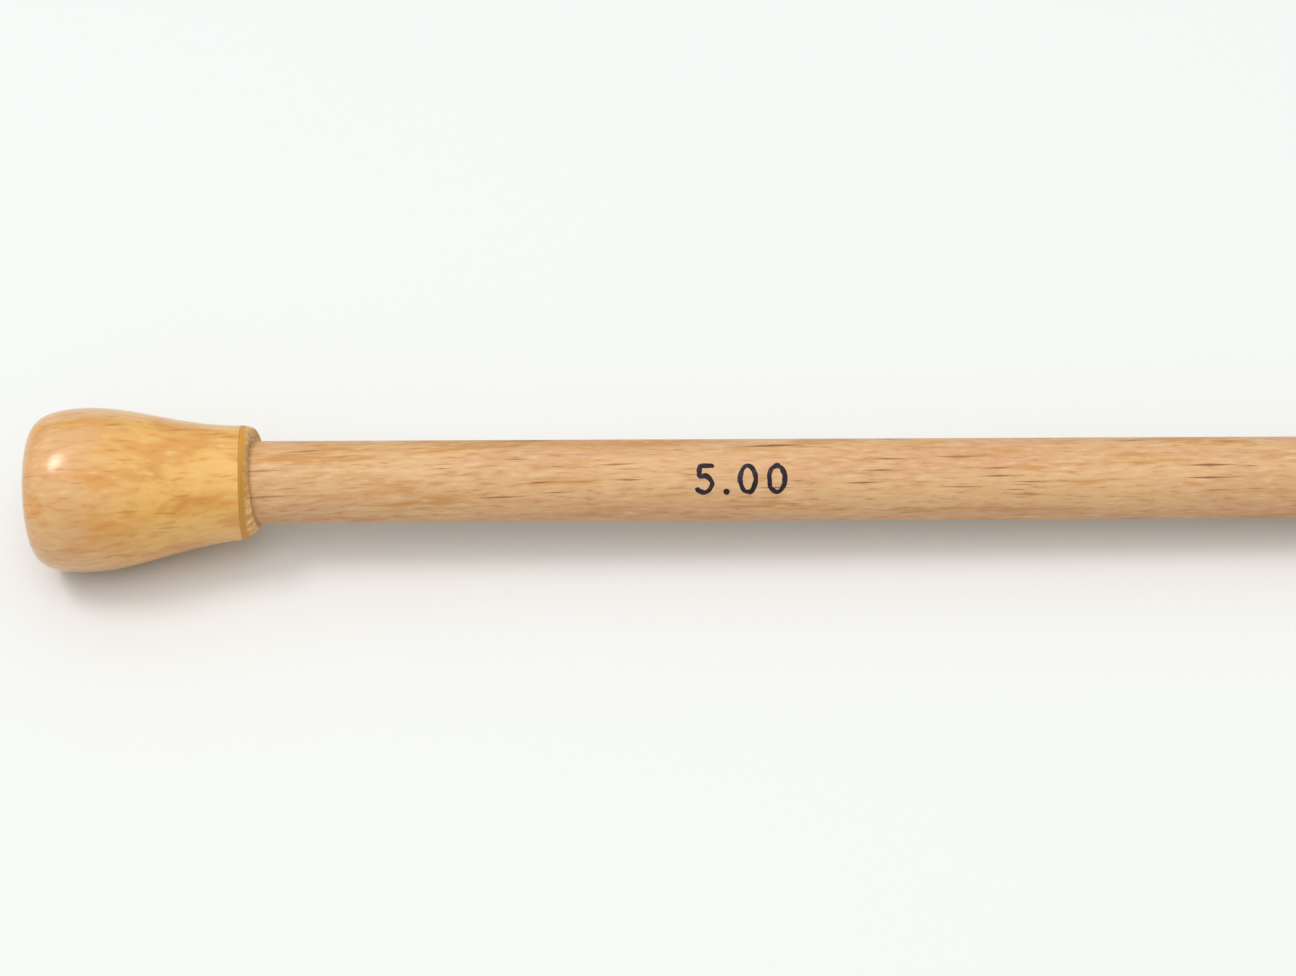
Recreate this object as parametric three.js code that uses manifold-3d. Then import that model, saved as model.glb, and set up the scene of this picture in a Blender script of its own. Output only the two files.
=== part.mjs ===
// A straight wooden knitting needle: a beech shaft, 5 mm across and tapered to one blunt point, glued into
// a turned and varnished head that keeps the stitches on. The size is inked on the shaft near the head.
//
// The needle is built along +X with the mouth of the head's bore at the origin, and is then laid down on
// its head and the front of its shaft, as it lies on a table. Lengths are in millimetres.

import * as THREE from "three";
import { mergeVertices } from "three/addons/utils/BufferGeometryUtils.js";
import Module from "manifold-3d";

// The whole needle.
const NEEDLE_LENGTH = 250;
const SHAFT_RADIUS = 2.5;
const SIDES = 20; // facets round every turned surface, wide enough to keep the needle from rolling
const FLAT_DOWN = Math.PI / SIDES; // turns a facet, and not an edge, to the table

// The head, measured from its flat end towards the shaft.
const HEAD_LENGTH = 13.8;
const HEAD_RADIUS = 5;
const WIDEST_AT = 3.6;
const END_FLAT_RADIUS = 2.2;
const COLLAR_RADIUS = 3.5;
const COLLAR_ARRIS = 13; // where the varnished side ends and the bevel begins
const MOUTH_FACE_RADIUS = 2.8;
const HEAD_LEAN = THREE.MathUtils.degToRad(2.4); // the head is bored this far out of line

// The glued joint inside the head.
const BORE_RADIUS = 2.65;
const BORE_DEPTH = 9;
const FIT_GAP = 0.015; // bare clearance that keeps touching solids apart
const GLUE_OVERRUN = 0.1; // how far the glue stands out of the mouth
const TENON_CHAMFER = 0.4;

// The point.
const TAPER_LENGTH = 20;
const NOSE_RADIUS = 0.65;

// The inked size mark, "5.00" in plain figures, drawn flat and then wrapped round the shaft.
const MARK_START = 26.7; // from the mouth of the head to the left side of the first figure
const MARK_LENGTH = 6;
const MARK_TURN = THREE.MathUtils.degToRad(35); // from the top of the shaft towards the front
const MARK_FOOT = -0.75; // the foot line, below the middle of the marked side of the shaft
const FIGURE_HEIGHT = 1.6; // between the middles of the pen strokes, as are the widths below
const FIVE_WIDTH = 0.9;
const ZERO_WIDTH = 0.95;
const POINT_START = 1.75;
const ZERO_STARTS = [2.6, 4.35];
const STROKE = 0.27;
const INK_DEPTH = 0.05;

const wasm = await Module();
wasm.setup();

// A closed geometry as a manifold-3d solid.
function solidOf(geometry) {
  const bare = new THREE.BufferGeometry();
  const loose = geometry.index ? geometry.toNonIndexed() : geometry;
  bare.setAttribute("position", loose.getAttribute("position"));
  const merged = mergeVertices(bare, 1e-4);
  const vertProperties = new Float32Array(merged.attributes.position.array);
  const triVerts = new Uint32Array(merged.index.array);
  return new wasm.Manifold(new wasm.Mesh({ numProp: 3, vertProperties, triVerts }));
}

// A manifold-3d solid as a geometry with flat facets.
function geometryOf(solid) {
  const { vertProperties, triVerts } = solid.getMesh();
  const indexed = new THREE.BufferGeometry();
  indexed.setAttribute("position", new THREE.BufferAttribute(vertProperties, 3));
  indexed.setIndex(new THREE.BufferAttribute(triVerts, 1));
  const faceted = indexed.toNonIndexed();
  faceted.computeVertexNormals();
  return faceted;
}

// Turns an outline of [along, radius] points about the X axis.
function turned(outline) {
  const points = outline.map(([along, radius]) => new THREE.Vector2(radius, along));
  return new THREE.LatheGeometry(points, SIDES, FLAT_DOWN).rotateZ(-Math.PI / 2);
}

// Points along a Bezier curve whose corners are [along, radius] pairs, without its first point.
function bezier(corners, steps) {
  const curve = new THREE.CubicBezierCurve(...corners.map(([along, radius]) => new THREE.Vector2(along, radius)));
  return curve.getPoints(steps).slice(1).map((point) => [point.x, point.y]);
}

// A plain round bar on the X axis.
function bar(from, to, radius) {
  return turned([[from, 0], [from, radius], [to, radius], [to, 0]]);
}

// The direction that the size mark faces. The head leans about the same line.
const MARK_FACING = new THREE.Vector3(0, 0, 1).applyAxisAngle(new THREE.Vector3(1, 0, 0), MARK_TURN);

function headGeometry() {
  const end = -HEAD_LENGTH;
  const outline = [
    [0, 0],
    [0, END_FLAT_RADIUS],
    ...bezier([[0, END_FLAT_RADIUS], [0.05, 3.8], [0.3, HEAD_RADIUS], [WIDEST_AT, HEAD_RADIUS]], 8),
    ...bezier([[WIDEST_AT, HEAD_RADIUS], [6.4, HEAD_RADIUS], [9.4, 3.6], [COLLAR_ARRIS, COLLAR_RADIUS]], 8),
    ...bezier([[COLLAR_ARRIS, COLLAR_RADIUS], [13.4, 3.4], [13.7, 3.15], [HEAD_LENGTH, MOUTH_FACE_RADIUS]], 3),
    [HEAD_LENGTH, 0],
  ];
  const blank = turned(outline).translate(end, 0, 0);
  blank.applyMatrix4(new THREE.Matrix4().makeRotationAxis(MARK_FACING, HEAD_LEAN));
  return geometryOf(solidOf(blank).subtract(solidOf(bar(-BORE_DEPTH, 1, BORE_RADIUS))));
}

// A thin cup that fills the bore round the end of the shaft.
const GLUE_RADIUS = BORE_RADIUS - FIT_GAP;
const GLUE_INNER_RADIUS = SHAFT_RADIUS + FIT_GAP;
const GLUE_FLOOR = -BORE_DEPTH + FIT_GAP;
const TENON_END = GLUE_FLOOR + (GLUE_RADIUS - GLUE_INNER_RADIUS) + FIT_GAP;

function glueGeometry() {
  const floorTop = TENON_END - FIT_GAP;
  return turned([
    [floorTop, 0],
    [GLUE_FLOOR, 0],
    [GLUE_FLOOR, GLUE_RADIUS],
    [GLUE_OVERRUN, GLUE_RADIUS],
    [GLUE_OVERRUN, GLUE_INNER_RADIUS],
    [floorTop, GLUE_INNER_RADIUS],
    [floorTop, 0],
  ]);
}

function shaftGeometry() {
  const tip = NEEDLE_LENGTH - HEAD_LENGTH;
  const shoulder = tip - TAPER_LENGTH;
  const nose = tip - NOSE_RADIUS;
  const outline = [
    [TENON_END, 0],
    [TENON_END, SHAFT_RADIUS - TENON_CHAMFER],
    [TENON_END + TENON_CHAMFER, SHAFT_RADIUS],
    [shoulder, SHAFT_RADIUS],
    ...bezier([[shoulder, SHAFT_RADIUS], [shoulder + 8, 2.45], [nose - 4, 1.25], [nose, NOSE_RADIUS]], 10),
  ];
  const noseSteps = 4;
  for (let step = 1; step <= noseSteps; step++) {
    const angle = (step / noseSteps) * (Math.PI / 2);
    outline.push([nose + NOSE_RADIUS * Math.sin(angle), step < noseSteps ? NOSE_RADIUS * Math.cos(angle) : 0]);
  }
  return turned(outline);
}

// Points on an oval arc of the mark, angles in degrees.
function arc(centreX, centreY, radiusX, radiusY, from, to, steps = 9) {
  return Array.from({ length: steps + 1 }, (_, step) => {
    const angle = THREE.MathUtils.degToRad(from + ((to - from) * step) / steps);
    return [centreX + radiusX * Math.cos(angle), centreY + radiusY * Math.sin(angle)];
  });
}

// One straight pen stroke with round ends, standing on the XY plane.
function penStroke([fromX, fromY], [toX, toY], depth) {
  const length = Math.hypot(toX - fromX, toY - fromY);
  const outline = new THREE.Shape();
  outline.absarc(0, 0, STROKE / 2, Math.PI / 2, (3 * Math.PI) / 2);
  outline.absarc(length, 0, STROKE / 2, -Math.PI / 2, Math.PI / 2);
  const stroke = new THREE.ExtrudeGeometry(outline, { depth, bevelEnabled: false, curveSegments: 5 });
  return stroke.rotateZ(Math.atan2(toY - fromY, toX - fromX)).translate(fromX, fromY, 0);
}

// The ink that pen lines leave on the shaft: a thin film as deep as the shell between two radii.
const INK_SHELL = solidOf(
  bar(MARK_START - 1, MARK_START + MARK_LENGTH + 1, SHAFT_RADIUS + FIT_GAP + INK_DEPTH),
).subtract(solidOf(bar(MARK_START - 2, MARK_START + MARK_LENGTH + 2, SHAFT_RADIUS + FIT_GAP)));

function inkGeometry(points, start) {
  const depth = SHAFT_RADIUS + 1;
  const strokes = points.slice(1).map((point, index) => solidOf(penStroke(points[index], point, depth)));
  const drawn = strokes.reduce((whole, stroke) => whole.add(stroke));
  const placed = geometryOf(drawn).translate(MARK_START + start, MARK_FOOT, 0).rotateX(MARK_TURN);
  return geometryOf(solidOf(placed).intersect(INK_SHELL));
}

// The figure 5: a flag, a neck and an open bowl.
function fivePoints() {
  const bowl = 0.5;
  const neck = [[FIVE_WIDTH, FIGURE_HEIGHT], [0.15, FIGURE_HEIGHT], [0.1, 0.92]];
  return [...neck, ...arc(FIVE_WIDTH - bowl, bowl, bowl, bowl, 115, -140)];
}

// The point: the pen is only set down.
function pointPoints() {
  return [[0, 0], [0.04, 0]];
}

// The figure 0: a closed oval.
function zeroPoints() {
  return arc(ZERO_WIDTH / 2, FIGURE_HEIGHT / 2, ZERO_WIDTH / 2, FIGURE_HEIGHT / 2, 0, 360, 14);
}

const beech = new THREE.MeshStandardMaterial({ color: 0xd8a878, roughness: 0.5, metalness: 0 });
const varnished = new THREE.MeshStandardMaterial({ color: 0xe0aa68, roughness: 0.3, metalness: 0 });
const glue = new THREE.MeshStandardMaterial({ color: 0x9a6a30, roughness: 0.35, metalness: 0 });
const ink = new THREE.MeshStandardMaterial({ color: 0x231c26, roughness: 0.6, metalness: 0 });

function piece(name, geometry, material) {
  const mesh = new THREE.Mesh(geometry, material);
  mesh.name = name;
  return mesh;
}

const needle = new THREE.Group();
needle.add(
  piece("head", headGeometry(), varnished),
  piece("shaft", shaftGeometry(), beech),
  piece("glue_film", glueGeometry(), glue),
  piece("size_mark_five", inkGeometry(fivePoints(), 0), ink),
  piece("size_mark_point", inkGeometry(pointPoints(), POINT_START), ink),
  ...ZERO_STARTS.map((start, index) => piece(`size_mark_zero_${index + 1}`, inkGeometry(zeroPoints(), start), ink)),
);

// Every corner of a piece, in the needle's own frame.
function cornersOf(name) {
  const { position } = needle.getObjectByName(name).geometry.attributes;
  return Array.from({ length: position.count }, (_, index) => new THREE.Vector3().fromBufferAttribute(position, index));
}

// Lays the needle down: it turns about the lowest corner of its head until its shaft meets the table.
const heel = cornersOf("head").reduce((lowest, corner) => (corner.z < lowest.z ? corner : lowest));
const beyondHead = cornersOf("shaft").filter((corner) => corner.x > 0);
const slopes = beyondHead.map((corner) => Math.atan2(corner.z - heel.z, corner.x - heel.x));
needle.rotation.y = Math.min(...slopes);

const lying = new THREE.Group();
lying.add(needle);
lying.updateMatrixWorld(true);
const extent = new THREE.Box3().setFromObject(needle, true);
const middle = extent.getCenter(new THREE.Vector3());
needle.position.set(-middle.x, -middle.y, -extent.min.z);

export default lying;
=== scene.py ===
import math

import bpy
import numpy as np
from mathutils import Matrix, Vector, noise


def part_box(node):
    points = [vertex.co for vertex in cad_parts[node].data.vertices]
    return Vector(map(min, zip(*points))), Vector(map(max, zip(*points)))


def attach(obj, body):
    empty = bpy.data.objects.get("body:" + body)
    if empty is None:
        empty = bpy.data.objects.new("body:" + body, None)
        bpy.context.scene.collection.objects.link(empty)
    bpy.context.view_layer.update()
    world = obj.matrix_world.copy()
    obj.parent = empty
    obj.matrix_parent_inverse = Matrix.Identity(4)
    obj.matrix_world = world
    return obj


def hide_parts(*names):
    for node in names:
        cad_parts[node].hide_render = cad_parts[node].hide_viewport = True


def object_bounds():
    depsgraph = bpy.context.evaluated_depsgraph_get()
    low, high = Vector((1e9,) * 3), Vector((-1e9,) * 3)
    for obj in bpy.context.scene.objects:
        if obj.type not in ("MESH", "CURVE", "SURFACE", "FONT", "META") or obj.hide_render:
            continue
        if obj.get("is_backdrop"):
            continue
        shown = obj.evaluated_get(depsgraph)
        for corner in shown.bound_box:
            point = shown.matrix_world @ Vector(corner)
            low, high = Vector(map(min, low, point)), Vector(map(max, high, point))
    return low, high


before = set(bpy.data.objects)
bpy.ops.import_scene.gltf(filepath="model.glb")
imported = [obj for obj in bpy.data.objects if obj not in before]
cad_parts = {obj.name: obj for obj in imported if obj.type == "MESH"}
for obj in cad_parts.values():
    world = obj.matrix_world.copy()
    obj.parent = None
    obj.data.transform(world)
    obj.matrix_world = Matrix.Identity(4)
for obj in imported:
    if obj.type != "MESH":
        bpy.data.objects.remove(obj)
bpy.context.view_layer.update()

# The looks of a straight wooden knitting needle: a beech shaft glued into a turned, varnished head.
#
# Every piece is drawn in the needle's own frame, in millimetres, and then laid where the CAD needle lies:
#   along   from the mouth of the head (0) towards the point
#   up      across the needle, towards the upper edge that the camera sees
#   out     towards the side that carries the size mark

MM = 0.001

# The shaft.
SHAFT_RADIUS = 2.5
NEEDLE_LENGTH = 250
TAPER_LENGTH = 20
NOSE_RADIUS = 0.65
TENON_END = -8.8
TENON_CHAMFER = 0.4
GRAIN_CLIMB = 1.1  # how far the grain climbs across the shaft
GRAIN_CLIMB_LENGTH = 20  # and how fast: most of it is over after this much of the shaft

# The head, measured from its flat end towards the shaft.
HEAD_LENGTH = 13.8
HEAD_RADIUS = 5
WIDEST_AT = 3.6
END_FLAT_RADIUS = 2.2
END_DOME = 0.12  # how much the flat end bulges
COLLAR_RADIUS = 3.5
COLLAR_ARRIS = 13  # how far the turned outline is drawn, before it is skewed to meet the cut
MOUTH_FACE_RADIUS = 2.8
BORE_RADIUS = 2.65
BORE_DEPTH = 9
GLUE_OVERRUN = 0.1  # how far the glue in the CAD stands past the mouth
GLUE_SPREAD = 0.04  # how far the bead spreads over the end face
GLUE_PART = 0.015  # the glue's gap to the end of the tenon and the floor of the bore
HEAD_LEAN = math.radians(2.4)

# The bare bevel round the mouth was cut by hand, between two planes that are a little skewed. Each is given
# by how far along the head it crosses the axis, and how much further it is at its upper and outer edges.
ARRIS_CUT = (12.9, 0.1, 0.2)
MOUTH_CUT = (13.7, -0.06, -0.12)
SKEW_REACH = 2.5  # how far behind the arris the turned surface begins to follow the skewed cut
STAINED_WIDTH = 0.32  # how far past the arris the varnish has crept over the bare bevel

# The size mark.
MARK_START = 26.7
MARK_FOOT = -0.75
MARK_TURN = math.radians(35)
FIGURE_HEIGHT = 1.6
FIVE_WIDTH = 0.9
ZERO_WIDTH = 0.95
POINT_START = 1.75
ZERO_STARTS = (2.6, 4.35)
STROKE = 0.29
INK_DEPTH = 0.03
PEN_SHAKE = 0.05
INK_GRID = 0.016  # how finely the strokes of a figure are fused

# How finely the pieces are drawn.
SIDES = 192  # round every turned surface
CORNER_STEPS = 60
CONE_STEPS = 120
BEVEL_STEPS = 24
BARREL_STEPS = 150
TAPER_STEPS = 60

# The view and the light.
CAMERA_ELEVATION = math.radians(90) - MARK_TURN
CAMERA_AZIMUTH = math.radians(-0.82)
CAMERA_DISTANCE = 165
VIEW_WIDTH = 79.2
VIEW_CENTRE = Vector((23.79, -0.47, 0))
LAMP_DISTANCE = 1.5  # in metres


# ---------------------------------------------------------------------------------------------------------
# The needle's frame


def centre_of(node):
    low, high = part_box(node)
    return (Vector(low) + Vector(high)) / 2


def needle_matrix():
    """From the needle's frame, in millimetres, to the row's, in metres."""
    heel_along = HEAD_LENGTH - WIDEST_AT
    heel_depth = HEAD_RADIUS + heel_along * math.sin(HEAD_LEAN) * math.sin(MARK_TURN)
    shoulder_along = NEEDLE_LENGTH - HEAD_LENGTH - TAPER_LENGTH
    rest_slope = math.atan2(heel_depth - SHAFT_RADIUS, heel_along + shoulder_along)
    turn = Matrix.Rotation(rest_slope, 4, "Y") @ Matrix.Rotation(MARK_TURN, 4, "X")
    cup_middle = Vector(((GLUE_OVERRUN - BORE_DEPTH) / 2, 0, 0))
    place = Matrix.Translation(centre_of("glue_film"))
    return place @ turn @ Matrix.Scale(MM, 4) @ Matrix.Translation(-cup_middle)


NEEDLE = needle_matrix()
HEAD_FRAME = Matrix.Rotation(HEAD_LEAN, 4, "Z") @ Matrix.Translation((-HEAD_LENGTH, 0, 0))


def moved(points, matrix):
    """An array of points, each moved by the matrix."""
    points = np.asarray(points, float)
    turn = np.array(matrix)
    return points @ turn[:3, :3].T + turn[:3, 3]


# ---------------------------------------------------------------------------------------------------------
# Mesh building


def bezier(corners, steps):
    """Points [along, radius] of a cubic Bezier curve, without its first."""
    start, out, back, end = np.array(corners, float)
    t = np.linspace(0, 1, steps + 1)[1:, None]
    return (1 - t) ** 3 * start + 3 * (1 - t) ** 2 * t * out + 3 * (1 - t) * t * t * back + t**3 * end


ANGLES = np.linspace(0, 2 * math.pi, SIDES, endpoint=False)


def ring(along, radius):
    """One ring of points round the axis. along and radius are numbers, or arrays with a value per angle."""
    points = np.empty((SIDES, 3))
    points[:, 0] = along
    points[:, 1] = radius * np.cos(ANGLES)
    points[:, 2] = radius * np.sin(ANGLES)
    return points


def skin(rings):
    """The faces between rings of SIDES points, each ring joined to the next."""
    step = np.arange(SIDES)
    after = (step + 1) % SIDES
    faces = []
    for index in range(len(rings) - 1):
        here, there = index * SIDES, (index + 1) * SIDES
        faces.extend(np.stack([here + after, here + step, there + step, there + after], axis=1).tolist())
    return faces


def add_piece(name, points, faces, grain, materials, stands_for, scalars=(), face_material=None):
    """Makes a piece from points in the needle's frame. grain holds each point's place in the wood, in mm."""
    mesh = bpy.data.meshes.new(name)
    mesh.from_pydata(moved(points, NEEDLE).tolist(), [], faces)
    mesh.attributes.new("grain_mm", "FLOAT_VECTOR", "POINT").data.foreach_set("vector", np.ravel(grain))
    for key, values in dict(scalars).items():
        mesh.attributes.new(key, "FLOAT", "POINT").data.foreach_set("value", values)
    for material in materials:
        mesh.materials.append(material)
    if face_material is not None:
        mesh.polygons.foreach_set("material_index", face_material)
    mesh.polygons.foreach_set("use_smooth", [True] * len(mesh.polygons))
    mesh.validate()
    mesh.update()
    piece = bpy.data.objects.new(name, mesh)
    bpy.context.collection.objects.link(piece)
    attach(piece, "root")
    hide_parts(stands_for)


def closed(rings):
    """Points and faces of a lofted solid whose first and last rings are filled by one point each."""
    points = np.concatenate([*rings, [rings[0].mean(axis=0)], [rings[-1].mean(axis=0)]])
    first, last = len(points) - 2, len(points) - 1
    tail = (len(rings) - 1) * SIDES
    step = np.arange(SIDES)
    after = (step + 1) % SIDES
    fans = [[first, here, there] for here, there in zip(step.tolist(), after.tolist())]
    fans += [[last, tail + there, tail + here] for here, there in zip(step.tolist(), after.tolist())]
    return points, skin(rings) + fans


def wander(along, seed, pace):
    """A number that wanders smoothly between about -1 and 1, the same on each run."""
    return noise.noise(Vector((along * pace, seed, 0.5)))


# ---------------------------------------------------------------------------------------------------------
# Shader building


class Shader:
    """A material's node tree, built by short calls."""

    def __init__(self, name):
        self.material = bpy.data.materials.new(name)
        self.material.use_nodes = True
        self.tree = self.material.node_tree
        self.tree.nodes.clear()

    def node(self, kind, inputs=None, **settings):
        made = self.tree.nodes.new("ShaderNode" + kind)
        for key, value in settings.items():
            setattr(made, key, value)
        for key, value in (inputs or {}).items():
            self.feed(made.inputs[key], value)
        return made

    def feed(self, socket, value):
        if isinstance(value, bpy.types.NodeSocket):
            self.tree.links.new(value, socket)
        else:
            socket.default_value = value

    def math(self, operation, first, second=0.0):
        return self.node("Math", {0: first, 1: second}, operation=operation).outputs[0]

    def attribute(self, name, output="Vector"):
        return self.node("Attribute", attribute_name=name).outputs[output]

    def stretched(self, place, sizes, shift=(0, 0, 0)):
        """The place measured in steps of the given sizes, in mm."""
        scale = tuple(1 / size for size in sizes)
        return self.node("Mapping", {"Vector": place, "Scale": scale, "Location": shift}).outputs[0]

    def clouds(self, place, sizes, shift=(0, 0, 0), detail=2):
        """Soft patches of about the given sizes, in mm. shift picks another set of patches."""
        inputs = {"Vector": self.stretched(place, sizes, shift), "Scale": 1, "Detail": detail}
        return self.node("TexNoise", inputs).outputs["Fac"]

    def between(self, value, low, high):
        """0 where the value is at low, 1 where it is at high, and smooth between them."""
        inputs = {"Value": value, "From Min": low, "From Max": high}
        return self.node("MapRange", inputs, interpolation_type="SMOOTHSTEP").outputs["Result"]

    def blend(self, share, first, second):
        """The first colour where share is 0, the second where it is 1."""
        made = self.node("Mix", data_type="RGBA")
        self.feed(made.inputs["Factor"], share)
        self.feed(made.inputs["A"], first)
        self.feed(made.inputs["B"], second)
        return made.outputs["Result"]

    def finish(self, surface):
        output = self.node("OutputMaterial")
        self.tree.links.new(surface, output.inputs["Surface"])
        return self.material


def srgb(red, green, blue):
    """A colour given as 0 to 255, as the shader wants it."""
    levels = (np.array((red, green, blue)) / 255).tolist()
    linear = [level / 12.92 if level <= 0.04045 else ((level + 0.055) / 1.055) ** 2.4 for level in levels]
    return (*linear, 1.0)


# ---------------------------------------------------------------------------------------------------------
# Wood
#
# Beech is pale, with rays that run outwards like ribbons. Where the surface cuts across them, they show as
# thin dark dashes along the grain, and where it runs along them, as broad and fainter flecks. Here they run
# along "out".


def part_of(shader, vector, channel):
    """One number of a vector or colour: Red is along, Green is up and Blue is out."""
    return shader.node("SeparateColor", {"Color": vector}).outputs[channel]


def rays(shader, place, size, share, shift):
    """How much of a ray shows at a place, 0 to 1. size is its length and width, and share of them show."""
    length, width = size
    height = 14
    inputs = {"Vector": shader.stretched(place, (length, width, height), shift), "Scale": 1, "Randomness": 1}
    voronoi = shader.node("TexVoronoi", inputs, feature="F1", distance="MANHATTAN")
    spindle = shader.between(voronoi.outputs["Distance"], 0.4, 0.16)
    lottery = part_of(shader, voronoi.outputs["Color"], "Red")
    drawn = shader.between(lottery, 1 - share, 1 - share + 0.3)
    return shader.math("MULTIPLY", spindle, drawn)


def wavering(shader, place, reach):
    """The place, pushed a little sideways by the waviness of the grain."""
    wave = shader.node("TexNoise", {"Vector": shader.stretched(place, (8, 3, 3)), "Scale": 1, "Detail": 2})
    centred = shader.node("VectorMath", {0: wave.outputs["Color"], 1: (0.5, 0.5, 0.5)}, operation="SUBTRACT")
    push = shader.node("VectorMath", {0: centred.outputs[0], 1: (0, reach, reach)}, operation="MULTIPLY")
    return shader.node("VectorMath", {0: place, 1: push.outputs[0]}, operation="ADD").outputs[0]


def plain_beech():
    """The bare shaft, sanded and a little waxed."""
    shader = Shader("plain_beech")
    grain = shader.attribute("grain_mm")
    place = wavering(shader, grain, 0.3)
    tone = shader.clouds(place, (14, 1.4, 1.6), (3, 1, 2))
    colour = shader.blend(shader.between(tone, 0.36, 0.64), srgb(208, 155, 114), srgb(215, 167, 120))
    edge = shader.between(part_of(shader, grain, "Green"), 0.6, 2.0)
    patches = shader.clouds(place, (6, 0.6, 1.5), (9, 4, 1), detail=3)
    warm = shader.between(shader.math("ADD", patches, shader.math("MULTIPLY", edge, 0.1)), 0.5, 0.72)
    colour = shader.blend(warm, colour, srgb(198, 141, 85))
    mottle = shader.clouds(place, (1.1, 0.2, 0.2), (1, 7, 3))
    colour = shader.blend(shader.between(mottle, 0.5, 0.85), colour, srgb(186, 132, 89))
    colour = shader.blend(shader.between(mottle, 0.52, 0.1), colour, srgb(223, 186, 141))
    fine = rays(shader, place, (3.4, 0.2), 0.5, (5.2, 3.3, 2))
    bold = rays(shader, place, (7, 0.3), 0.8, (0.3, 0.1, 0))
    cut_across = shader.between(shader.math("ABSOLUTE", part_of(shader, grain, "Green")), 2.3, 1.3)
    strength = shader.math("ADD", shader.math("MULTIPLY", cut_across, 0.75), 0.25)
    bold = shader.math("MULTIPLY", bold, strength)
    colour = shader.blend(shader.math("MULTIPLY", fine, 0.5), colour, srgb(161, 109, 72))
    colour = shader.blend(shader.math("MULTIPLY", bold, 0.9), colour, srgb(136, 85, 52))
    relief = shader.math("ADD", shader.math("MULTIPLY", mottle, 0.4), shader.math("MULTIPLY", bold, -0.2))
    bump = shader.node("Bump", {"Height": relief, "Strength": 0.3, "Distance": 0.00003}).outputs[0]
    gloss = shader.math("ADD", shader.math("MULTIPLY", mottle, 0.2), 0.4)
    inputs = {"Base Color": colour, "Roughness": gloss, "Normal": bump, "Specular IOR Level": 0.3}
    return shader.finish(shader.node("BsdfPrincipled", inputs).outputs[0])


def varnished_beech():
    """The turned side of the head, under a glossy amber varnish that is darker where it gathered."""
    shader = Shader("varnished_beech")
    grain = shader.attribute("grain_mm")
    place = wavering(shader, grain, 0.7)
    along = part_of(shader, grain, "Red")
    colour = shader.blend(shader.between(along, 3, 8), srgb(216, 162, 110), srgb(229, 171, 91))
    tone = shader.clouds(place, (3.5, 1.6, 1.6), (6, 1, 4))
    colour = shader.blend(shader.between(tone, 0.46, 0.68), colour, srgb(216, 150, 75))
    rings = shader.clouds(place, (9, 2.2, 0.42), (2, 5, 1))
    colour = shader.blend(shader.between(rings, 0.5, 0.8), colour, srgb(208, 137, 61))
    streaks = shader.clouds(place, (1.4, 0.34, 0.3), (4, 2, 8))
    colour = shader.blend(shader.between(streaks, 0.5, 0.9), colour, srgb(199, 129, 63))
    colour = shader.blend(shader.between(streaks, 0.5, 0.15), colour, srgb(224, 181, 118))
    fine = rays(shader, place, (3, 0.3), 0.7, (7.7, 1.3, 2))
    colour = shader.blend(shader.math("MULTIPLY", fine, 0.45), colour, srgb(179, 106, 45))
    edge = shader.between(shader.attribute("from_arris_mm", "Fac"), -0.1, 0.0)
    colour = shader.blend(shader.math("MULTIPLY", edge, 0.85), colour, srgb(166, 104, 33))
    bump = shader.node("Bump", {"Height": streaks, "Strength": 0.15, "Distance": 0.00005}).outputs[0]
    inputs = {"Base Color": colour, "Roughness": 0.45, "Normal": bump, "Coat Weight": 0.75}
    inputs.update({"Specular IOR Level": 0.2, "Coat Roughness": 0.17, "Coat IOR": 1.5, "Coat Normal": bump})
    return shader.finish(shader.node("BsdfPrincipled", inputs).outputs[0])


def cut_beech():
    """The bevel and the end face at the mouth: cut after varnishing, with varnish crept over its edge."""
    shader = Shader("cut_beech")
    place = shader.attribute("grain_mm")
    mottle = shader.clouds(place, (0.6, 0.3, 0.3), (2, 2, 2), detail=3)
    colour = shader.blend(shader.between(mottle, 0.3, 0.7), srgb(207, 148, 84), srgb(242, 195, 132))
    fine = rays(shader, place, (1.5, 0.22), 0.7, (3, 1, 5))
    colour = shader.blend(shader.math("MULTIPLY", fine, 0.6), colour, srgb(180, 121, 66))
    creep = shader.clouds(place, (0.3, 0.6, 0.6), (5, 1, 3))
    past = shader.attribute("from_arris_mm", "Fac")
    uneven = shader.math("SUBTRACT", past, shader.math("MULTIPLY", creep, 0.3))
    stained = shader.between(uneven, STAINED_WIDTH, 0.0)
    colour = shader.blend(stained, colour, srgb(209, 146, 64))
    bump = shader.node("Bump", {"Height": mottle, "Strength": 0.2, "Distance": 0.00003}).outputs[0]
    inputs = {"Base Color": colour, "Roughness": 0.55, "Normal": bump, "Specular IOR Level": 0.2}
    return shader.finish(shader.node("BsdfPrincipled", inputs).outputs[0])


def dried_glue():
    """Clear brown wood glue, a little clotted."""
    shader = Shader("dried_glue")
    clots = shader.clouds(shader.attribute("grain_mm"), (0.4, 0.4, 0.4))
    colour = shader.blend(clots, srgb(182, 137, 84), srgb(208, 164, 108))
    inputs = {"Base Color": colour, "Roughness": 0.35}
    return shader.finish(shader.node("BsdfPrincipled", inputs).outputs[0])


def dried_ink():
    """Black ink with a purple cast, thinner and greyer where the pen moved fast."""
    shader = Shader("dried_ink")
    wash = shader.clouds(shader.attribute("grain_mm"), (0.35, 0.12, 0.2), (3, 3, 3), detail=3)
    colour = shader.blend(shader.between(wash, 0.4, 0.75), srgb(28, 16, 24), srgb(58, 44, 62))
    bump = shader.node("Bump", {"Height": wash, "Strength": 0.3, "Distance": 0.00002}).outputs[0]
    inputs = {"Base Color": colour, "Roughness": 0.55, "Normal": bump, "Specular IOR Level": 0.3}
    return shader.finish(shader.node("BsdfPrincipled", inputs).outputs[0])


# ---------------------------------------------------------------------------------------------------------
# The pieces


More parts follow.
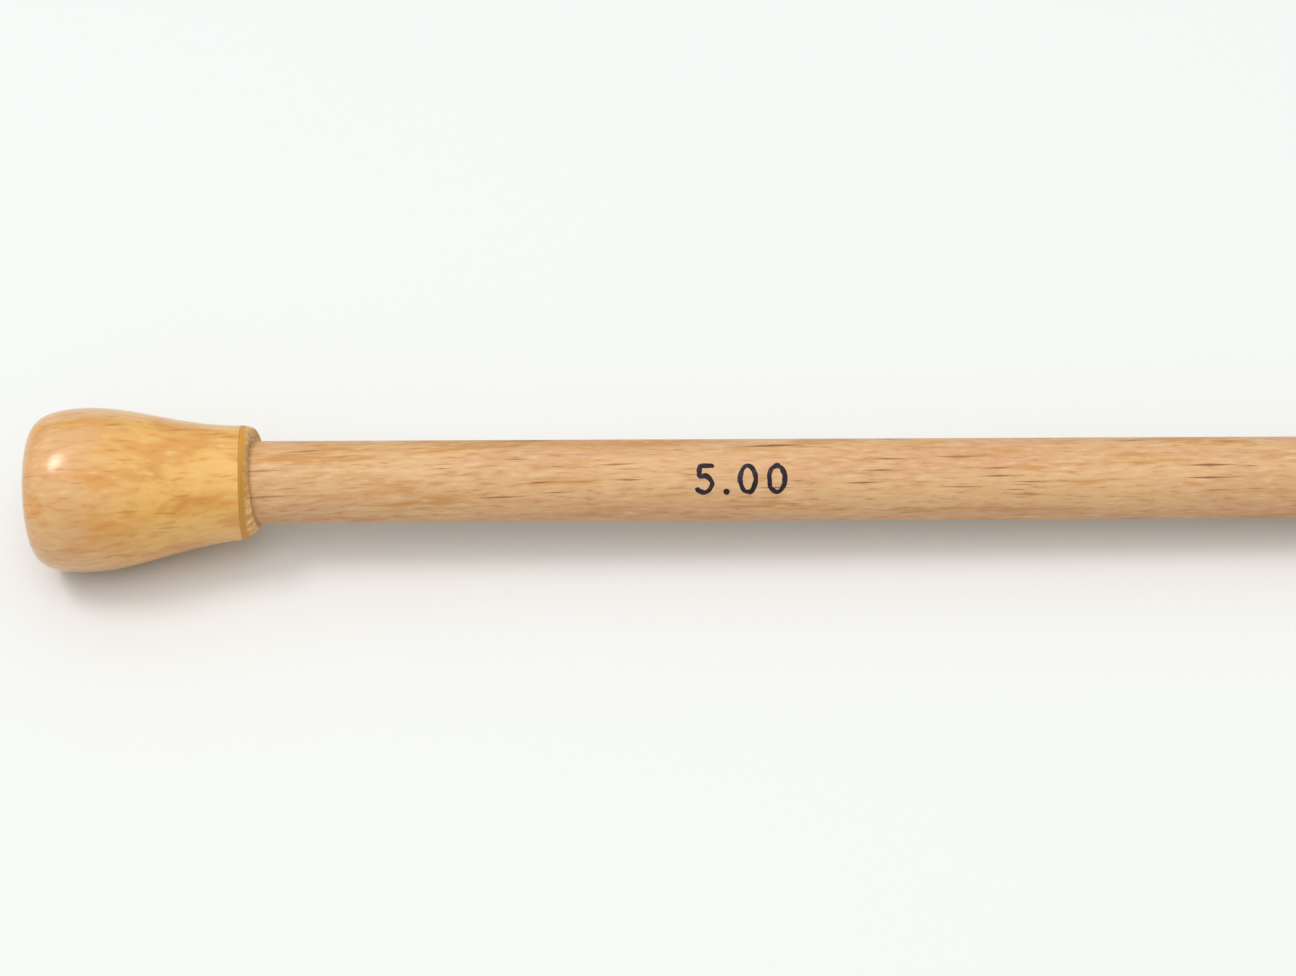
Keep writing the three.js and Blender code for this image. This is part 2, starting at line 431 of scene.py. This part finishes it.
def cut_along(cut):
    """How far along the head a skewed cut runs at each angle."""
    level, upwards, outwards = cut
    return level + upwards * np.cos(ANGLES) + outwards * np.sin(ANGLES)


def mouth_edge():
    """The ring where the end face of the head meets the bore, before the head is leaned."""
    return moved(ring(cut_along(MOUTH_CUT) - 0.02, BORE_RADIUS), HEAD_FRAME)


def mixed(share, first, second):
    """A point between two for each angle, as arrays along and radius. Where share is 1 it is the first."""
    return (np.outer(share, first) + np.outer(1 - share, second)).T


def bevel_rings():
    """The bare end of the head, from arris to mouth: rounded at the upper back, chamfered opposite.

    Both outlines are points [share of the way from arris to mouth, radius].
    """
    arris, mouth = [0, COLLAR_RADIUS], [1, MOUTH_FACE_RADIUS]
    square = bezier([arris, [1.3, 3.42], [1.35, 3.42], mouth], BEVEL_STEPS)
    chamfer = bezier([arris, [0.33, 3.22], [0.67, 2.97], mouth], BEVEL_STEPS)
    squareness = (1 + np.cos(ANGLES + math.radians(45))) / 2
    start, end = cut_along(ARRIS_CUT), cut_along(MOUTH_CUT)
    rings = []
    for first, second in zip(square, chamfer):
        share, radius = mixed(squareness, first, second)
        rings.append(ring(start + (end - start) * share, radius))
    return rings


def body_rings():
    """The turned outside of the head, from the middle of its end to the arris.

    The upper corner of its end is rounder than the lower one.
    """
    end = [(END_DOME * share**2, END_FLAT_RADIUS * share) for share in np.linspace(0.1, 1, 8)]
    start, widest = [END_DOME, END_FLAT_RADIUS], [WIDEST_AT, HEAD_RADIUS]
    rounder = bezier([start, [0.2, 3.8], [0.15, HEAD_RADIUS], widest], CORNER_STEPS)
    squarer = bezier([start, [0.05, 3.8], [0.05, 5.03], widest], CORNER_STEPS)
    upper = (1 + np.cos(ANGLES)) / 2
    rings = [ring(along, radius) for along, radius in end]
    for first, second in zip(rounder, squarer):
        rings.append(ring(*mixed(upper, first, second)))
    skew = cut_along(ARRIS_CUT) - COLLAR_ARRIS
    arris = [COLLAR_ARRIS, COLLAR_RADIUS]
    for along, radius in bezier([widest, [6.4, HEAD_RADIUS], [9.4, 3.6], arris], CONE_STEPS):
        follow = max(0, 1 - (COLLAR_ARRIS - along) / SKEW_REACH)
        rings.append(ring(along + skew * follow, radius))
    return rings


def add_head():
    """The head: its turned outside, its bare bevel and its blind bore, as one closed skin."""
    body = body_rings()
    varnished_rings = len(body)
    body += bevel_rings()
    rings = [moved(points, HEAD_FRAME) for points in body]
    rings.append(mouth_edge())
    rings += [ring(along, BORE_RADIUS) for along in np.linspace(-0.4, -BORE_DEPTH, 8)]
    rings += [ring(-BORE_DEPTH, radius) for radius in (2, 1, 0.2)]
    points, faces = closed(rings)
    grain = moved(points, HEAD_FRAME.inverted())
    ring_of_face = np.array([face[0] // SIDES for face in faces])
    bare = (ring_of_face >= varnished_rings - 1) & (ring_of_face < len(rings))
    whole_rings = len(rings) * SIDES
    from_arris = grain[:, 0] - COLLAR_ARRIS
    from_arris[:whole_rings] = grain[:whole_rings, 0] - np.tile(cut_along(ARRIS_CUT), len(rings))
    looks = [varnished_beech(), cut_beech()]
    scalars = {"from_arris_mm": from_arris}
    slots = bare.astype(int)
    add_piece("turned_head", points, faces, grain, looks, "head", scalars, slots)


def shaft_outline():
    """The shaft's outline as points (along, radius), from the end of its tenon to its point."""
    tip = NEEDLE_LENGTH - HEAD_LENGTH
    shoulder, nose = tip - TAPER_LENGTH, tip - NOSE_RADIUS
    tenon = [(TENON_END, radius) for radius in (0.3, 1.2, SHAFT_RADIUS - TENON_CHAMFER)]
    barrel_start = TENON_END + TENON_CHAMFER
    barrel = [(along, SHAFT_RADIUS) for along in np.linspace(barrel_start, shoulder, BARREL_STEPS)]
    start, end = [shoulder, SHAFT_RADIUS], [nose, NOSE_RADIUS]
    taper = bezier([start, [shoulder + 8, 2.45], [nose - 4, 1.25], end], TAPER_STEPS)
    turns = np.linspace(0, math.pi / 2, 14)[1:-1]
    cap = [(nose + NOSE_RADIUS * math.sin(turn), NOSE_RADIUS * math.cos(turn)) for turn in turns]
    return [*tenon, *barrel, *taper, *cap]


def grain_drift(along):
    """The grain climbs a little as it leaves the head, and then runs straight."""
    return GRAIN_CLIMB * (1 - np.exp(-along / GRAIN_CLIMB_LENGTH))


def add_shaft():
    """The shaft, with its grain drifting across it near the head."""
    points, faces = closed([ring(along, radius) for along, radius in shaft_outline()])
    grain = points.copy()
    grain[:, 1] -= grain_drift(points[:, 0])
    add_piece("beech_shaft", points, faces, grain, [plain_beech()], "shaft")


def add_glue():
    """The cup of glue in the bore, with a low, uneven bead that covers the joint at the mouth."""
    edge = mouth_edge()[:, 0]
    bead = np.array([0.02 + 0.03 * wander(math.cos(angle), 4.2 + math.sin(angle), 2.5) for angle in ANGLES])
    outer, inner = BORE_RADIUS - 0.01, SHAFT_RADIUS + 0.005
    floor = -BORE_DEPTH + GLUE_PART
    rings = [ring(floor, radius) for radius in (0.2, 1.5, outer)]
    rings += [ring(along, outer) for along in np.linspace(-8, -0.5, 6)]
    middle, half = (outer + GLUE_SPREAD + inner) / 2, (outer + GLUE_SPREAD - inner) / 2
    for turn in np.linspace(0, math.pi, 9):
        rings.append(ring(edge + bead * math.sin(turn), middle + half * math.cos(turn)))
    rings += [ring(along, inner) for along in np.linspace(-0.5, TENON_END - GLUE_PART, 6)]
    rings.append(ring(TENON_END - GLUE_PART, 0.2))
    points, faces = closed(rings)
    add_piece("glue_bead", points, faces, points, [dried_glue()], "glue_film")


def arc(centre, radii, start, end, steps=24):
    """Points on an oval arc of the mark, angles in degrees."""
    turns = np.radians(np.linspace(start, end, steps + 1))
    return [(centre[0] + radii[0] * math.cos(turn), centre[1] + radii[1] * math.sin(turn)) for turn in turns]


def round_ends(points):
    """The places of a pen stroke and the share of its width at each, with a round end at both ends."""
    places = [Vector(point) for point in points]
    turns = np.radians([0, 25, 50, 70])
    start = (places[0] - places[1]).normalized() * STROKE / 2
    end = (places[-1] - places[-2]).normalized() * STROKE / 2
    head = [(places[0] + start * math.sin(turn), math.cos(turn)) for turn in turns[::-1]]
    tail = [(places[-1] + end * math.sin(turn), math.cos(turn)) for turn in turns]
    return [*head, *[(place, 1.0) for place in places[1:-1]], *tail]


def pen_line(name, points, seed):
    """A tube of ink along the points, in mm, before it is flattened and wrapped on the shaft."""
    curve = bpy.data.curves.new(name, "CURVE")
    curve.dimensions = "3D"
    curve.bevel_depth = STROKE / 2
    curve.bevel_resolution = 5
    curve.use_fill_caps = True
    stroke = round_ends(points)
    line = curve.splines.new("POLY")
    line.points.add(len(stroke) - 1)
    for index, (place, width) in enumerate(stroke):
        shake = Vector((wander(index, seed, 0.3), wander(index, seed + 5, 0.3))) * PEN_SHAKE
        line.points[index].co = (*(place + shake), 0, 1)
        line.points[index].radius = width * (1 + 0.3 * wander(index, seed + 9, 0.35))
    carrier = bpy.data.objects.new(name, curve)
    bpy.context.collection.objects.link(carrier)
    return carrier


def add_figure(name, points, start, stands_for, ink):
    """Draws one figure of the mark, fuses its strokes into a film, and wraps it round the shaft."""
    carrier = pen_line(name + "_line", points, start + 0.7)
    fuse = carrier.modifiers.new("fuse", "REMESH")
    fuse.mode = "VOXEL"
    fuse.voxel_size = INK_GRID
    ready = carrier.evaluated_get(bpy.context.evaluated_depsgraph_get())
    mesh = bpy.data.meshes.new_from_object(ready)
    flat = np.empty(len(mesh.vertices) * 3)
    mesh.vertices.foreach_get("co", flat)
    flat = flat.reshape(-1, 3)
    faces = [list(face.vertices) for face in mesh.polygons]
    bpy.data.objects.remove(carrier)
    bpy.data.meshes.remove(mesh)
    film = SHAFT_RADIUS + flat[:, 2] * INK_DEPTH / (STROKE / 2)
    up = flat[:, 1] + MARK_FOOT
    points = np.stack([MARK_START + start + flat[:, 0], up, np.sqrt(film**2 - up**2)], axis=1)
    add_piece(name, points, faces, points, [ink], stands_for)


def straight(start, end, steps=8):
    """Points on a straight stroke, without its last."""
    shares = np.linspace(0, 1, steps + 1)[:-1]
    return [tuple((1 - share) * np.array(start) + share * np.array(end)) for share in shares]


def add_mark():
    """The size of the needle in plain figures, drawn with a pen."""
    ink = dried_ink()
    bowl = 0.5
    flag_end, corner, shoulder = (FIVE_WIDTH, FIGURE_HEIGHT), (0.18, FIGURE_HEIGHT), (0.1, 0.95)
    neck = straight(flag_end, corner) + straight(corner, shoulder)
    five = [*neck, *arc((FIVE_WIDTH - bowl, bowl), (bowl, bowl), 115, -140)]
    middle = (ZERO_WIDTH / 2, FIGURE_HEIGHT / 2)
    zero = arc(middle, middle, 80, 440, 40)
    dot = arc((0.03, 0.03), (0.04, 0.04), 0, 330, 12)
    add_figure("ink_five", five, 0, "size_mark_five", ink)
    add_figure("ink_point", dot, POINT_START, "size_mark_point", ink)
    for index, start in enumerate(ZERO_STARTS, 1):
        add_figure(f"ink_zero_{index}", zero, start, f"size_mark_zero_{index}", ink)


# ---------------------------------------------------------------------------------------------------------
# The table, the light and the camera


def add_table(height):
    """A plain pale floor, in metres."""
    half = 2.0
    corners = [(-half, -half), (half, -half), (half, half), (-half, half)]
    mesh = bpy.data.meshes.new("table")
    mesh.from_pydata([(*corner, height) for corner in corners], [], [(0, 1, 2, 3)])
    shader = Shader("table_paper")
    inputs = {"Base Color": srgb(228, 224, 223), "Roughness": 0.7, "Specular IOR Level": 0.2}
    mesh.materials.append(shader.finish(shader.node("BsdfPrincipled", inputs).outputs[0]))
    table = bpy.data.objects.new("table", mesh)
    bpy.context.collection.objects.link(table)
    table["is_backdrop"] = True


def add_lamp(name, target, direction, size, power, colour):
    """A soft round or oval lamp that shines on the target from a direction. Its size is in metres."""
    data = bpy.data.lights.new(name, "AREA")
    data.shape = "ELLIPSE"
    data.size, data.size_y = size
    data.energy = power
    data.color = colour
    lamp = bpy.data.objects.new(name, data)
    back = Vector(direction).normalized()
    lamp.location = target + back * LAMP_DISTANCE
    lamp.rotation_mode = "QUATERNION"
    lamp.rotation_quaternion = back.to_track_quat("Z", "Y")
    bpy.context.collection.objects.link(lamp)
    return lamp


def add_room():
    """The light of a room, much brighter overhead than near the horizon."""
    horizon, overhead = 0.16, 1.0
    world = bpy.data.worlds.new("room")
    world.use_nodes = True
    tree = world.node_tree
    place = tree.nodes.new("ShaderNodeTexCoord")
    parts = tree.nodes.new("ShaderNodeSeparateXYZ")
    height = tree.nodes.new("ShaderNodeMapRange")
    height.interpolation_type = "SMOOTHSTEP"
    height.inputs["From Max"].default_value = 0.9
    height.inputs["To Min"].default_value = horizon
    height.inputs["To Max"].default_value = overhead
    background = tree.nodes["Background"]
    background.inputs["Color"].default_value = (0.84, 1.0, 0.97, 1)
    tree.links.new(place.outputs["Generated"], parts.inputs[0])
    tree.links.new(parts.outputs["Z"], height.inputs["Value"])
    tree.links.new(height.outputs["Result"], background.inputs["Strength"])
    bpy.context.scene.world = world


def add_light(target):
    """The room, a broad lamp overhead, and a small window to the left that puts the gleam on the head."""
    add_room()
    ceiling = add_lamp("ceiling", target, (-0.06, -0.24, 0.97), (1.3, 1.3), 7.7, (1.0, 0.9, 0.92))
    ceiling.visible_glossy = False
    add_lamp("window", target, (-0.42, 0.1, 0.9), (0.6, 0.3), 6.3, (1.0, 0.94, 0.94))


def add_camera(target):
    """The photograph's view: square on to the marked side, and wide enough for the first 79 mm."""
    data = bpy.data.cameras.new("view")
    data.sensor_width = 36
    data.lens = data.sensor_width * CAMERA_DISTANCE / VIEW_WIDTH
    data.clip_start = 0.005
    camera = bpy.data.objects.new("view", data)
    flat = math.cos(CAMERA_ELEVATION)
    sideways, backwards = math.sin(CAMERA_AZIMUTH) * flat, -math.cos(CAMERA_AZIMUTH) * flat
    back = Vector((sideways, backwards, math.sin(CAMERA_ELEVATION)))
    camera.location = target + back * CAMERA_DISTANCE * MM
    camera.rotation_mode = "QUATERNION"
    camera.rotation_quaternion = back.to_track_quat("Z", "Y")
    bpy.context.collection.objects.link(camera)
    bpy.context.scene.camera = camera


target = NEEDLE @ VIEW_CENTRE
add_camera(target)
add_light(target)
add_head()
add_shaft()
add_glue()
add_mark()
add_table(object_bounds()[0][2])

bpy.context.scene.view_settings.view_transform = "Standard"
